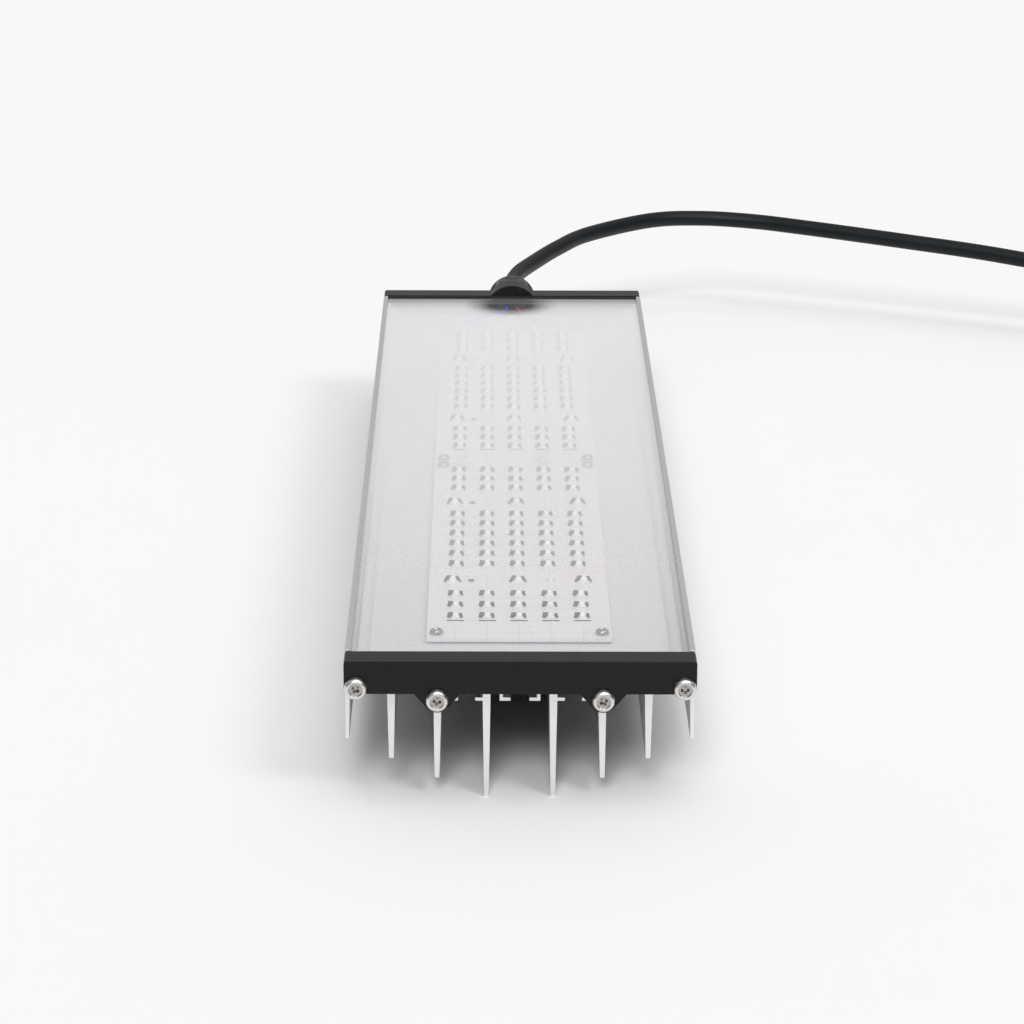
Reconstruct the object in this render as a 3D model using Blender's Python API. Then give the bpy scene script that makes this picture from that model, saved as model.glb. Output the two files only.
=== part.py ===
"""LED grow light bar: finned extrusion, LED boards under a frosted cover, screwed end caps, gland and cable.

Metres, +Z up. +Y runs along the bar from the front cap to the rear cap, and X = 0 and Y = 0 are its middle.
Z = 0 is the surface that the tips of the two middle fins stand on, and the light shines along +Z.
"""

import math

import bmesh
import bpy
from mathutils import Vector

MM = 0.001
GAP = 0.25 * MM  # clearance between two pieces that touch

# The bar
LENGTH = 600 * MM
WIDTH = 140 * MM
HEIGHT = 62.5 * MM  # from the fin tips to the top of the rails
CAP_DEPTH = 12 * MM
GASKET = 0.8 * MM
BODY_END = LENGTH / 2 - CAP_DEPTH - 2 * GAP - GASKET  # Y of the extrusion's end

# The extrusion's section
BASE_TOP = 52 * MM
BASE_BOTTOM = 48.5 * MM
WALL = 2.2 * MM
RAIL_LIP = 2.25 * MM  # width of a rail's top, which overhangs the cover
LIP_THICK = 0.9 * MM
GROOVE_DEPTH = 1.1 * MM
LEDGE_TOP = 58.2 * MM
LEDGE_THICK = 1.2 * MM
LEDGE_REACH = 3.9 * MM  # from the outside of the wall
FIN_ROOT = 3.4 * MM
FIN_TIP = 2.0 * MM
FINS = ((13.4 * MM, 0.0), (33.3 * MM, 8 * MM), (51.6 * MM, 16.4 * MM))  # X and the height of the tip
OUTER_FIN_TIP = 24.8 * MM
OUTER_FIN_ROOT = 2.0 * MM
OUTER_FIN_EDGE = 1.5 * MM

# The slots under the base plate
SLOT_LIP_BOTTOM = 41 * MM
SLOT_LIP_TOP = 42.5 * MM
CENTRE_MOUTH = 3.75 * MM
CENTRE_LEG = (6.8 * MM, 8.2 * MM)
SIDE_MOUTH = (18.0 * MM, 24.8 * MM)
SIDE_LEG = (26.0 * MM, 27.4 * MM)

# The cap screws and their channels
OUTER_SCREW = (65.2 * MM, 51.5 * MM)
INNER_SCREW = (33.0 * MM, 46.5 * MM)
CHANNEL_HOLE = 2.4 * MM
OUTER_CHANNEL = 4.2 * MM
INNER_CHANNEL = 3.9 * MM
SCREW_SHANK = 2.1 * MM
SCREW_HEAD = 4.6 * MM
SCREW_HEAD_THICK = 3.1 * MM
SCREW_LENGTH = 23 * MM
CLEARANCE_HOLE = 2.6 * MM

# The caps
CAP_BOTTOM = 48.7 * MM
CAP_CORNER = 1.2 * MM
OUTER_EAR = 4.8 * MM
INNER_EAR = 5.6 * MM
EAR_SLOPE = math.radians(50)
POCKET = (52 * MM, 53.6 * MM, 59.4 * MM)  # half width, low and high Z of the hollow behind the cap's face
POCKET_DEPTH = 8 * MM

# The cover and its seals
COVER_THICK = 2 * MM
COVER_TOP = HEIGHT - LIP_THICK - GAP
COVER_HALF = WIDTH / 2 - RAIL_LIP + GROOVE_DEPTH - GAP
SEAL_THICK = 0.65 * MM
END_SEAL = 1.65 * MM

# The boards
PAD_THICK = 0.5 * MM
BOARD_THICK = 1.6 * MM
BOARD_HALF = 38 * MM
BOARD_LENGTH = 247.6 * MM
BOARD_PITCH = 248 * MM
BOARD_START = -250 * MM
PAD_TOP = BASE_TOP + GAP + PAD_THICK
BOARD_TOP = PAD_TOP + GAP + BOARD_THICK
BOARD_SCREWS = (34 * MM, 5.5 * MM)  # X, and the distance from the board's end
BOARD_SCREW_SHANK = 1.5 * MM
BOARD_SCREW_HOLE = 1.8 * MM
BOARD_SCREW_HEAD = (2.8 * MM, 1.7 * MM)
BOARD_SCREW_DEPTH = 2.6 * MM

# The light sources on a board: a block of 3 rows, a row of large ones, 6 rows, a row of large ones, 3 rows
ROW_PITCH = 14.3 * MM
ROW_START = 26 * MM
TO_LARGE_ROW = 18.2 * MM
FROM_LARGE_ROW = 21.6 * MM
ROW_BLOCKS = (3, 6, 3)
COLUMN_PITCH = 13.2 * MM
COLUMNS = 5
LED_SIZE = (5 * MM, 5 * MM, 2.6 * MM)
LARGE_COLUMN_PITCH = 28 * MM
LARGE_LED_SIZE = (7 * MM, 5.6 * MM, 2.8 * MM)
SOLDER_DEPTH = 0.2 * MM  # the soldered parts' underside, below the board's top
SMD_SIZE = (3.2 * MM, 1.6 * MM, 0.7 * MM)
SMD_X = (-20 * MM, 14 * MM)
TERMINAL_SIZE = (4.4 * MM, 6 * MM, 3 * MM)
TERMINAL_INSET = 4.2 * MM
BLUE_X = -24 * MM
BROWN_X = 13 * MM
LEAD = 0.9 * MM

# The cable gland, on the rear cap's boss
GLAND_Z = 53.5 * MM
BOSS = 14.5 * MM
GLAND_HOLE = 8.2 * MM
GLAND_THREAD = 7.9 * MM
HEX = 12 * MM  # half the width across flats
HOOD = 12.9 * MM
FLANGE_START = LENGTH / 2 + 1.8 * MM
FLANGE_END = LENGTH / 2 + 6.3 * MM
NECK = 8.3 * MM
NECK_BORE = 6.6 * MM
NUT_BORE = 8.65 * MM
NUT_START = FLANGE_END + 0.3 * MM
GLAND_MOUTH = LENGTH / 2 + 27 * MM

# The cable. Its route is the points that it passes, from the gland's mouth to the coil.
CABLE = 9 * MM
CABLE_BORE = CABLE / 2 + 0.35 * MM
CABLE_STEP = 18 * MM
ROUTE = (
    (0.0, 0.327, 0.0535),
    (0.0, 0.345, 0.0535),
    (0.0035, 0.372, 0.0538),
    (0.0133, 0.398, 0.0545),
    (0.0277, 0.4265, 0.0563),
    (0.0459, 0.4545, 0.0578),
    (0.0840, 0.4895, 0.0582),
    (0.1147, 0.5000, 0.0572),
    (0.1446, 0.4970, 0.0562),
    (0.1740, 0.4870, 0.0550),
    (0.2318, 0.4650, 0.0520),
    (0.2887, 0.4430, 0.0484),
    (0.3400, 0.4190, 0.0430),
    (0.3870, 0.3840, 0.0345),
    (0.4220, 0.3400, 0.0245),
    (0.4400, 0.3070, 0.0185),
    (0.4528, 0.2782, 0.0160),
)
COIL_CENTRE = (0.404, 0.240)
COIL_RADIUS = 48 * MM  # of the middle of the bundle
COIL_HALF = 9.2 * MM  # half the bundle's width and height
COIL_LIFT = 1.6 * MM
TIE_THICK = 1.0 * MM
TIE_WIDTH = 12 * MM
TAIL_ROUTE = (
    (0.4565, 0.2080, 0.0062),
    (0.4557, 0.1900, 0.0072),
    (0.4540, 0.1720, 0.0092),
    (0.4530, 0.1530, 0.0108),
    (0.4530, 0.1460, 0.0108),
)

# The connector at the cable's end. Its axis is parallel to Y, and its mouth points along -Y.
PLUG_X = 0.453
PLUG_Y = 0.1457
PLUG_Z = 10.8 * MM
RING_RADIUS = 10.4 * MM
PIN_CIRCLE = 3 * MM


def clear_scene():
    for obj in list(bpy.data.objects):
        bpy.data.objects.remove(obj, do_unlink=True)


def material(name, colour, roughness, metallic=0.0):
    mat = bpy.data.materials.get(name) or bpy.data.materials.new(name)
    mat.use_nodes = True
    shader = mat.node_tree.nodes["Principled BSDF"]
    shader.inputs["Base Color"].default_value = (*colour, 1.0)
    shader.inputs["Roughness"].default_value = roughness
    shader.inputs["Metallic"].default_value = metallic
    return mat


ALUMINIUM = ((0.78, 0.78, 0.79), 0.35, 1.0)
STEEL = ((0.62, 0.60, 0.57), 0.28, 1.0)
BLACK_PAINT = ((0.03, 0.03, 0.032), 0.45)
BLACK_PLASTIC = ((0.025, 0.025, 0.028), 0.4)
BLACK_RUBBER = ((0.02, 0.02, 0.021), 0.7)
SEAL_GREY = ((0.55, 0.56, 0.57), 0.6)
FROSTED = ((0.86, 0.87, 0.88), 0.5)
BOARD_WHITE = ((0.85, 0.86, 0.86), 0.4)
PAD_GREY = ((0.45, 0.47, 0.5), 0.8)
LED_WHITE = ((0.9, 0.9, 0.85), 0.2)
CHIP = ((0.08, 0.08, 0.09), 0.5)
IVORY = ((0.8, 0.8, 0.76), 0.5)
BLUE = ((0.05, 0.2, 0.6), 0.4)
BROWN = ((0.45, 0.1, 0.06), 0.4)
BRASS = ((0.8, 0.6, 0.3), 0.3, 1.0)
STRAP = ((0.03, 0.03, 0.035), 0.9)


def add_object(name, bm, finish, smooth=False):
    bmesh.ops.recalc_face_normals(bm, faces=bm.faces)
    mesh = bpy.data.meshes.new(name)
    bm.to_mesh(mesh)
    bm.free()
    if smooth:
        mesh.shade_smooth()
        mesh.set_sharp_from_angle(angle=math.radians(35))
    obj = bpy.data.objects.new(name, mesh)
    bpy.context.collection.objects.link(obj)
    obj.data.materials.append(material(name, *finish))
    return obj


def circle(centre, radius, sides=20):
    turns = [2 * math.pi * i / sides for i in range(sides)]
    return [(centre[0] + radius * math.cos(a), centre[1] + radius * math.sin(a)) for a in turns]


def arc(centre, radius, start, end, steps):
    """Points of an arc from angle start to angle end, in radians."""
    turns = [start + (end - start) * i / steps for i in range(steps + 1)]
    return [(centre[0] + radius * math.cos(a), centre[1] + radius * math.sin(a)) for a in turns]


def rectangle(x0, x1, v0, v1):
    return [(x0, v0), (x1, v0), (x1, v1), (x0, v1)]


def prism_mesh(bm, outline, low, high, holes=(), axis="Y"):
    """Adds an outline with holes, drawn in X and the other axis, extruded along axis from low to high."""
    place = (lambda u, v, w: (u, w, v)) if axis == "Y" else (lambda u, v, w: (u, v, w))
    edges = []
    for loop in (outline, *holes):
        verts = [bm.verts.new(place(u, v, low)) for u, v in loop]
        edges += [bm.edges.new((verts[i - 1], verts[i])) for i in range(len(verts))]
    filled = bmesh.ops.triangle_fill(bm, use_beauty=True, use_dissolve=False, edges=edges)
    faces = [item for item in filled["geom"] if isinstance(item, bmesh.types.BMFace)]
    raised = bmesh.ops.extrude_face_region(bm, geom=faces)
    moved = [item for item in raised["geom"] if isinstance(item, bmesh.types.BMVert)]
    rise = Vector(place(0, 0, high - low))
    bmesh.ops.translate(bm, vec=rise, verts=moved)


def prism(name, outline, low, high, finish, holes=(), axis="Y"):
    bm = bmesh.new()
    prism_mesh(bm, outline, low, high, holes, axis)
    return add_object(name, bm, finish)


def boxes_mesh(bm, places, size, low):
    """Adds equal boxes. Each place is a box's middle in X and Y, and low is its underside."""
    for x, y in places:
        made = bmesh.ops.create_cube(bm, size=1.0)["verts"]
        bmesh.ops.scale(bm, vec=size, verts=made)
        bmesh.ops.translate(bm, vec=(x, y, low + size[2] / 2), verts=made)


def ring_radius(radius, sides, angle):
    """Distance from the axis of a circle, or of a polygon whose half width across flats is radius."""
    if not sides:
        return radius
    step = 2 * math.pi / sides
    return radius / math.cos((angle % step) - step / 2)


def turned_mesh(bm, profile, centre, steps, axis="Y"):
    """Adds a body turned round an axis. Each profile entry is (place along it, radius, sides)."""
    closed = profile[0][1] > 0
    rings = []
    for along, radius, sides in profile:
        if radius == 0:
            turn = [(0.0, 0.0)]
        else:
            angles = [2 * math.pi * (i + 0.5) / steps for i in range(steps)]
            reach = [ring_radius(radius, sides, a) for a in angles]
            turn = [(r * math.cos(a), r * math.sin(a)) for r, a in zip(reach, angles)]
        if axis == "Y":
            points = [(centre[0] + u, centre[1] + along, centre[2] + v) for u, v in turn]
        else:
            points = [(centre[0] + u, centre[1] + v, centre[2] + along) for u, v in turn]
        rings.append([bm.verts.new(p) for p in points])
    pairs = list(zip(rings, rings[1:] + rings[:1])) if closed else list(zip(rings, rings[1:]))
    for one, two in pairs:
        for i in range(steps):
            after = i + 1
            corners = [one[i % len(one)], one[after % len(one)], two[after % len(two)], two[i % len(two)]]
            bm.faces.new(list(dict.fromkeys(corners)))


def turned(name, profile, centre, finish, steps=24, axis="Y"):
    """A turned piece. A profile entry may leave out its sides, for a round one."""
    bm = bmesh.new()
    turned_mesh(bm, [(*entry, 0)[:3] for entry in profile], centre, steps, axis)
    return add_object(name, bm, finish, smooth=True)


def cut(obj, outlines, low, high, axis="Y"):
    """Cuts prisms of the outlines out of obj with a Boolean modifier."""
    bm = bmesh.new()
    for outline in outlines:
        prism_mesh(bm, outline, low, high, axis=axis)
    cutter = add_object(f"{obj.name}_cutter_{len(obj.modifiers)}", bm, CHIP)
    boolean(obj, cutter, "DIFFERENCE")


def boolean(obj, helper, operation):
    helper.hide_render = True
    helper.display_type = "WIRE"
    modifier = obj.modifiers.new(operation.lower(), "BOOLEAN")
    modifier.operation = operation
    modifier.solver = "EXACT"
    modifier.object = helper


def mirrored(half):
    """A whole outline from its +X half, which starts and ends near X = 0."""
    return half + [(-x, v) for x, v in reversed(half)]


def smooth_route(points, step):
    """Points about every step along a Catmull-Rom curve through points."""
    knots = [Vector(p) for p in points]
    knots = [2 * knots[0] - knots[1], *knots, 2 * knots[-1] - knots[-2]]
    fine = []
    for a, b, c, d in zip(knots, knots[1:], knots[2:], knots[3:]):
        for i in range(16):
            t = i / 16
            bend = (2 * a - 5 * b + 4 * c - d) * t**2 + (3 * b - a - 3 * c + d) * t**3
            fine.append(0.5 * (2 * b + (c - a) * t + bend))
    fine.append(knots[-2])
    along = [0.0]
    for one, two in zip(fine, fine[1:]):
        along.append(along[-1] + (two - one).length)
    count = max(2, round(along[-1] / step))
    route = []
    place = 0
    for i in range(count + 1):
        want = along[-1] * i / count
        while place < len(along) - 2 and along[place + 1] < want:
            place += 1
        share = (want - along[place]) / (along[place + 1] - along[place])
        route.append(fine[place].lerp(fine[place + 1], share))
    return route


def tube(name, points, radius, finish, resolution=3):
    """A filled tube along points, as a curve object."""
    curve = bpy.data.curves.new(name, "CURVE")
    curve.dimensions = "3D"
    curve.bevel_depth = radius
    curve.bevel_resolution = resolution
    curve.use_fill_caps = True
    spline = curve.splines.new("POLY")
    spline.points.add(len(points) - 1)
    for spot, point in zip(spline.points, points):
        spot.co = (*point, 1.0)
    spline.use_smooth = True
    obj = bpy.data.objects.new(name, curve)
    bpy.context.collection.objects.link(obj)
    curve.materials.append(material(name, *finish))
    return obj


def fin(x, tip):
    """The two corners of a fin's tip."""
    return [(x - FIN_TIP / 2, tip), (x + FIN_TIP / 2, tip)]


def body_half_outline():
    wall_inside = WIDTH / 2 - WALL
    lip_inside = WIDTH / 2 - RAIL_LIP
    groove = lip_inside + GROOVE_DEPTH
    (first_x, first_tip), (second_x, second_tip), (third_x, third_tip) = FINS
    inner_low = math.asin((BASE_BOTTOM - INNER_SCREW[1]) / INNER_CHANNEL)
    fin_side = math.asin(FIN_ROOT / 2 / INNER_CHANNEL)
    outer_low = math.asin((OUTER_SCREW[1] - BASE_BOTTOM) / OUTER_CHANNEL)
    outer_top = math.asin((BASE_TOP - OUTER_SCREW[1]) / OUTER_CHANNEL)
    outer_wall = math.acos((wall_inside - OUTER_SCREW[0]) / OUTER_CHANNEL)
    root_inside = WIDTH / 2 - OUTER_FIN_ROOT
    outer_fin = math.acos((root_inside - OUTER_SCREW[0]) / OUTER_CHANNEL)
    return [
        (CENTRE_LEG[0], BASE_BOTTOM),
        (CENTRE_LEG[0], SLOT_LIP_TOP),
        (CENTRE_MOUTH, SLOT_LIP_TOP),
        (CENTRE_MOUTH, SLOT_LIP_BOTTOM),
        (CENTRE_LEG[1], SLOT_LIP_BOTTOM),
        (CENTRE_LEG[1], BASE_BOTTOM),
        (first_x - FIN_ROOT / 2, BASE_BOTTOM),
        *fin(first_x, first_tip),
        (first_x + FIN_ROOT / 2 - 0.1 * MM, SLOT_LIP_BOTTOM),
        (SIDE_MOUTH[0], SLOT_LIP_BOTTOM),
        (SIDE_MOUTH[0], SLOT_LIP_TOP),
        (first_x + FIN_ROOT / 2 - 0.1 * MM, SLOT_LIP_TOP),
        (first_x + FIN_ROOT / 2, BASE_BOTTOM),
        (SIDE_LEG[0], BASE_BOTTOM),
        (SIDE_LEG[0], SLOT_LIP_TOP),
        (SIDE_MOUTH[1], SLOT_LIP_TOP),
        (SIDE_MOUTH[1], SLOT_LIP_BOTTOM),
        (SIDE_LEG[1], SLOT_LIP_BOTTOM),
        (SIDE_LEG[1], BASE_BOTTOM),
        *arc(INNER_SCREW, INNER_CHANNEL, math.pi - inner_low, 1.5 * math.pi - fin_side, 6),
        *fin(second_x, second_tip),
        *arc(INNER_SCREW, INNER_CHANNEL, 1.5 * math.pi + fin_side, 2 * math.pi + inner_low, 6),
        (third_x - FIN_ROOT / 2, BASE_BOTTOM),
        *fin(third_x, third_tip),
        (third_x + FIN_ROOT / 2, BASE_BOTTOM),
        *arc(OUTER_SCREW, OUTER_CHANNEL, math.pi + outer_low, 2 * math.pi - outer_fin, 5),
        (WIDTH / 2 - OUTER_FIN_EDGE, OUTER_FIN_TIP),
        (WIDTH / 2, OUTER_FIN_TIP),
        (WIDTH / 2, HEIGHT),
        (lip_inside, HEIGHT),
        (lip_inside, HEIGHT - LIP_THICK),
        (groove, HEIGHT - LIP_THICK),
        (groove, LEDGE_TOP),
        (WIDTH / 2 - LEDGE_REACH, LEDGE_TOP),
        (WIDTH / 2 - LEDGE_REACH, LEDGE_TOP - LEDGE_THICK),
        (wall_inside, LEDGE_TOP - LEDGE_THICK),
        *arc(OUTER_SCREW, OUTER_CHANNEL, outer_wall, math.pi - outer_top, 5),
    ]


def screw_places():
    return [(side * x, z) for side in (-1, 1) for x, z in (INNER_SCREW, OUTER_SCREW)]


def board_starts():
    return {"front": BOARD_START, "rear": BOARD_START + BOARD_PITCH}


def board_screw_places(start):
    x, inset = BOARD_SCREWS
    return [(side * x, y) for side in (-1, 1) for y in (start + inset, start + BOARD_LENGTH - inset)]


def make_body():
    holes = [circle(place, CHANNEL_HOLE, 12) for place in screw_places()]
    body = prism("heatsink_body", mirrored(body_half_outline()), -BODY_END, BODY_END, ALUMINIUM, holes)
    wells = []
    for start in board_starts().values():
        wells += [circle(place, BOARD_SCREW_HOLE, 10) for place in board_screw_places(start)]
    cut(body, wells, BASE_TOP - BOARD_SCREW_DEPTH - GAP, BASE_TOP + 1 * MM, axis="Z")


def make_cover():
    reach = BODY_END - END_SEAL - 2 * GAP
    cover = rectangle(-COVER_HALF, COVER_HALF, COVER_TOP - COVER_THICK, COVER_TOP)
    prism("diffuser_sheet", cover, -reach, reach, FROSTED)
    seal_low = LEDGE_TOP + GAP
    inner = WIDTH / 2 - LEDGE_REACH
    for side, name in ((-1, "side_seal_left"), (1, "side_seal_right")):
        edges = sorted((side * inner, side * COVER_HALF))
        prism(name, rectangle(*edges, seal_low, seal_low + SEAL_THICK), -reach, reach, SEAL_GREY)
    for end, name in ((-1, "end_seal_front"), (1, "end_seal_rear")):
        low, high = sorted((end * (reach + GAP), end * (reach + GAP + END_SEAL)))
        section = rectangle(-COVER_HALF, COVER_HALF, seal_low, COVER_TOP - 0.1 * MM)
        prism(name, section, low, high, SEAL_GREY)


def ear(centre, radius, slope):
    """The lower outline of a screw ear, from left to right, with sides that slope up to CAP_BOTTOM."""
    left = arc(centre, radius, 1.5 * math.pi - slope, 1.5 * math.pi, 5)
    rise = CAP_BOTTOM - left[0][1]
    run = rise / math.tan(slope)
    right = [(2 * centre[0] - x, z) for x, z in reversed(left[:-1])]
    return [(left[0][0] - run, CAP_BOTTOM), *left, *right, (right[-1][0] + run, CAP_BOTTOM)]


def cap_outline(shrink=0.0):
    """The caps' outline. The gaskets take it with their edges shrunk."""
    half = WIDTH / 2 - shrink
    top = HEIGHT - shrink
    drop = math.asin((OUTER_SCREW[1] - CAP_BOTTOM) / OUTER_EAR)
    corner = (half - CAP_CORNER, top - CAP_CORNER)
    return mirrored(
        [
            *ear(INNER_SCREW, INNER_EAR - shrink, EAR_SLOPE),
            *arc(OUTER_SCREW, half - OUTER_SCREW[0], math.pi + drop, 2 * math.pi, 8),
            *arc(corner, CAP_CORNER, 0, math.pi / 2, 4),
        ]
    )


def make_caps():
    inside = LENGTH / 2 - CAP_DEPTH
    clearance = [circle(place, CLEARANCE_HOLE, 14) for place in screw_places()]
    pocket = rectangle(-POCKET[0], POCKET[0], POCKET[1], POCKET[2])
    prism("end_cap_front", cap_outline(), -LENGTH / 2, -inside, BLACK_PAINT, clearance)
    cut(bpy.data.objects["end_cap_front"], [pocket], -inside - POCKET_DEPTH, -inside + 1 * MM)
    rear = prism("end_cap_rear", cap_outline(), inside, LENGTH / 2, BLACK_PAINT, clearance)
    bm = bmesh.new()
    prism_mesh(bm, circle((0, GLAND_Z), BOSS, 40), inside + GAP, LENGTH / 2)
    boolean(rear, add_object("end_cap_rear_boss", bm, CHIP), "UNION")
    cut(rear, [pocket], inside - 1 * MM, inside + POCKET_DEPTH)
    cut(rear, [circle((0, GLAND_Z), GLAND_HOLE, 32)], inside - 2 * MM, LENGTH / 2 + 2 * MM)
    window = rectangle(-POCKET[0], POCKET[0], POCKET[1] + 1 * MM, POCKET[2] - 0.6 * MM)
    for end, name in ((-1, "gasket_front"), (1, "gasket_rear")):
        low, high = sorted((end * (BODY_END + GAP), end * (BODY_END + GAP + GASKET)))
        prism(name, cap_outline(0.4 * MM), low, high, BLACK_RUBBER, [*clearance, window])


def make_cap_screws():
    for end, where in ((-1, "front"), (1, "rear")):
        seat = LENGTH / 2 + GAP
        profile = [
            (end * (seat - SCREW_LENGTH), 0, 0),
            (end * (seat - SCREW_LENGTH), SCREW_SHANK, 0),
            (end * seat, SCREW_SHANK, 0),
            (end * seat, SCREW_HEAD, 0),
            (end * (seat + SCREW_HEAD_THICK * 0.55), SCREW_HEAD, 0),
            (end * (seat + SCREW_HEAD_THICK), SCREW_HEAD * 0.72, 0),
            (end * (seat + SCREW_HEAD_THICK), 0, 0),
        ]
        for number, (x, z) in enumerate(screw_places(), 1):
            turned(f"cap_screw_{where}_{number}", profile, (x, 0, z), STEEL, steps=16)


def row_offsets():
    """Distances of the LED rows from the board's end: those of the blocks, and those of the large LEDs."""
    small = []
    large = []
    at = ROW_START
    for index, rows in enumerate(ROW_BLOCKS):
        small += [at + ROW_PITCH * i for i in range(rows)]
        if index < len(ROW_BLOCKS) - 1:
            large.append(small[-1] + TO_LARGE_ROW)
            at = large[-1] + FROM_LARGE_ROW
    return small, large


def make_board(where, start):
    screws = board_screw_places(start)
    outline = rectangle(-BOARD_HALF, BOARD_HALF, start, start + BOARD_LENGTH)
    inset = 1 * MM
    pad_end = start + BOARD_LENGTH - inset
    pad_outline = rectangle(-BOARD_HALF + inset, BOARD_HALF - inset, start + inset, pad_end)
    board_holes = [circle(place, BOARD_SCREW_HOLE, 10) for place in screws]
    pad_holes = [circle(place, BOARD_SCREW_HOLE + 0.3 * MM, 10) for place in screws]
    prism(f"thermal_pad_{where}", pad_outline, BASE_TOP + GAP, PAD_TOP, PAD_GREY, pad_holes, axis="Z")
    board_low = PAD_TOP + GAP
    board = prism(f"led_board_{where}", outline, board_low, BOARD_TOP, BOARD_WHITE, board_holes, axis="Z")
    small, large = row_offsets()
    columns = [COLUMN_PITCH * (i - (COLUMNS - 1) / 2) for i in range(COLUMNS)]
    large_columns = [LARGE_COLUMN_PITCH * i for i in (-1, 0, 1)]
    bm = bmesh.new()
    low = BOARD_TOP - SOLDER_DEPTH
    boxes_mesh(bm, [(x, start + y) for y in small for x in columns], LED_SIZE, low)
    boxes_mesh(bm, [(x, start + y) for y in large for x in large_columns], LARGE_LED_SIZE, low)
    boxes_mesh(bm, [(x, start + y) for y in large for x in SMD_X], SMD_SIZE, low)
    boolean(board, add_object(f"led_board_{where}_parts", bm, LED_WHITE), "UNION")
    seat = BOARD_TOP + GAP
    head, thick = BOARD_SCREW_HEAD
    profile = [
        (BASE_TOP - BOARD_SCREW_DEPTH, 0, 0),
        (BASE_TOP - BOARD_SCREW_DEPTH, BOARD_SCREW_SHANK, 0),
        (seat, BOARD_SCREW_SHANK, 0),
        (seat, head, 0),
        (seat + thick * 0.6, head, 0),
        (seat + thick, head * 0.7, 0),
        (seat + thick, 0, 0),
    ]
    for number, (x, y) in enumerate(screws, 1):
        turned(f"board_screw_{where}_{number}", profile, (x, y, 0), STEEL, steps=12, axis="Z")


def make_wiring():
    """Terminals on the boards, the jumper leads between the boards, and the leads from the gland."""
    seat = BOARD_TOP + GAP
    starts = board_starts()
    front_tail = starts["front"] + BOARD_LENGTH - TERMINAL_INSET
    rear_head = starts["rear"] + TERMINAL_INSET
    rear_tail = starts["rear"] + BOARD_LENGTH - TERMINAL_INSET
    for colour, x in (("blue", BLUE_X), ("brown", BROWN_X)):
        for where, y in (("front_board", front_tail), ("rear_board", rear_head), ("leads", rear_tail)):
            bm = bmesh.new()
            boxes_mesh(bm, [(x, y)], TERMINAL_SIZE, seat)
            add_object(f"terminal_{where}_{colour}", bm, IVORY)
    half = TERMINAL_SIZE[1] / 2 + GAP
    wire_z = seat + TERMINAL_SIZE[2] / 2
    for x, name, finish in ((BLUE_X, "jumper_blue", BLUE), (BROWN_X, "jumper_brown", BROWN)):
        low = (x, front_tail + half, wire_z)
        high = (x, rear_head - half, wire_z)
        tube(name, [low, high], LEAD, finish, resolution=2)
    for x, name, finish in ((BLUE_X, "lead_blue", BLUE), (BROWN_X, "lead_brown", BROWN)):
        side = math.copysign(1, x)
        route = (
            (side * 2 * MM, LENGTH / 2 - 8.3 * MM, GLAND_Z + 1.5 * MM),
            (side * 2.4 * MM, BODY_END + 1 * MM, GLAND_Z + 2.6 * MM),
            (side * 5 * MM, BODY_END - 10 * MM, GLAND_Z + 2.5 * MM),
            (side * 5 * MM + (x - side * 5 * MM) * 0.55, BODY_END - 18 * MM, GLAND_Z + 2.2 * MM),
            (x, rear_tail + half + 8 * MM, wire_z),
            (x, rear_tail + half, wire_z),
        )
        tube(name, smooth_route(route, 2.5 * MM), LEAD, finish, resolution=2)


def make_gland():
    centre = (0, 0, GLAND_Z)
    inside = LENGTH / 2 - 10 * MM
    seal_start = FLANGE_END + 2 * MM
    seal_end = FLANGE_END + 15 * MM
    neck_end = FLANGE_END + 13 * MM
    turned(
        "gland_body",
        [
            (inside, CABLE_BORE, 0),
            (inside, GLAND_THREAD, 0),
            (FLANGE_START, GLAND_THREAD, 0),
            (FLANGE_START, HEX, 6),
            (FLANGE_END, HEX, 6),
            (FLANGE_END, NECK, 0),
            (neck_end, NECK, 0),
            (neck_end, NECK_BORE, 0),
            (seal_start - GAP, NECK_BORE, 0),
            (seal_start - GAP, CABLE_BORE, 0),
        ],
        centre,
        BLACK_PLASTIC,
    )
    start = LENGTH / 2 + GAP
    inner, outer = GLAND_THREAD + 0.3 * MM, GLAND_THREAD + 2.4 * MM
    end = FLANGE_START - GAP
    ring = [(start, inner), (start, outer), (end, outer), (end, inner)]
    turned("gland_o_ring", ring, centre, BLACK_RUBBER)
    turned(
        "gland_seal",
        [
            (seal_start, CABLE_BORE, 0),
            (seal_start, NECK_BORE - 0.3 * MM, 0),
            (seal_end, NECK_BORE - 0.3 * MM, 0),
            (seal_end, CABLE_BORE, 0),
        ],
        centre,
        BLACK_RUBBER,
    )
    hood = seal_end + 0.4 * MM
    turned(
        "gland_nut",
        [
            (NUT_START, NUT_BORE, 0),
            (NUT_START, HEX, 6),
            (NUT_START + 9 * MM, HEX, 6),
            (NUT_START + 10 * MM, HOOD, 0),
            (NUT_START + 13.5 * MM, 0.96 * HOOD, 0),
            (NUT_START + 17 * MM, 0.84 * HOOD, 0),
            (NUT_START + 19.6 * MM, 0.65 * HOOD, 0),
            (GLAND_MOUTH, 0.5 * HOOD, 0),
            (GLAND_MOUTH, CABLE_BORE + 0.2 * MM, 0),
            (hood, CABLE_BORE + 0.2 * MM, 0),
            (hood - 0.4 * MM, NECK_BORE, 0),
            (neck_end + 1 * MM, NUT_BORE, 0),
        ],
        centre,
        BLACK_PLASTIC,
    )
    stub_start = LENGTH / 2 - 8 * MM
    stub = [(stub_start, 0), (stub_start, CABLE / 2), (GLAND_MOUTH - GAP, CABLE / 2), (GLAND_MOUTH - GAP, 0)]
    turned("cable_in_gland", stub, centre, BLACK_RUBBER, steps=12)


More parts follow.
